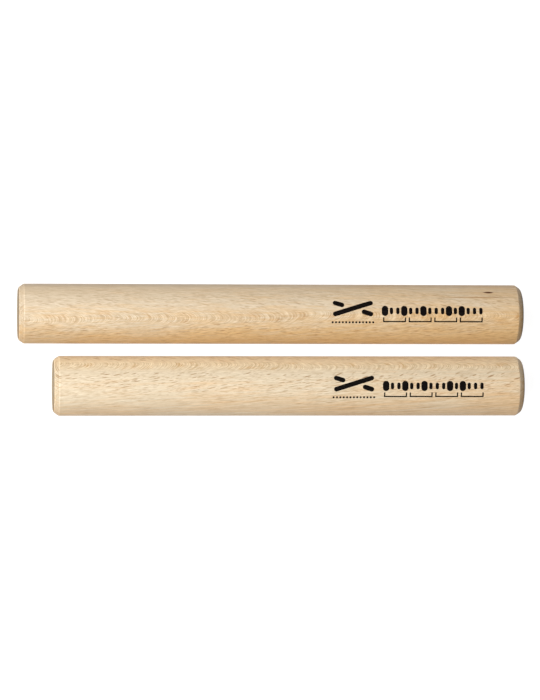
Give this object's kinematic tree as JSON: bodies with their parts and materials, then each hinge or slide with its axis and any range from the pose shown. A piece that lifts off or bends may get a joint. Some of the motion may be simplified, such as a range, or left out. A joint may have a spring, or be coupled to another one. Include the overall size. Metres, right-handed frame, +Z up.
{
  "type": "claves",
  "caption": "Turned beech percussion sticks with chamfered ends: a longer one is held in the cupped hand and struck across with a shorter one.",
  "frame": {"origin": "on the surface that the sticks lie on, midway along the pair and midway across it", "axes": "+X along both sticks, towards the end where they stop almost level; +Y from the shorter stick to the longer one; +Z up from the surface"},
  "size_m": [0.2122, 0.0552, 0.025],
  "materials": {
    "long_beech": "satin",
    "short_beech": "satin",
    "print_ink": "matte"
  },
  "bodies": {
    "long_clave": {"long_clave": "long_beech"},
    "short_clave": {"short_clave": "short_beech"}
  },
  "joints": [
    {"name": "strike_stroke", "type": "slide", "parent": "long_clave", "child": "short_clave", "axis": [0, 1, 0], "range_m": [-0.12, 0.0048]}
  ]
}
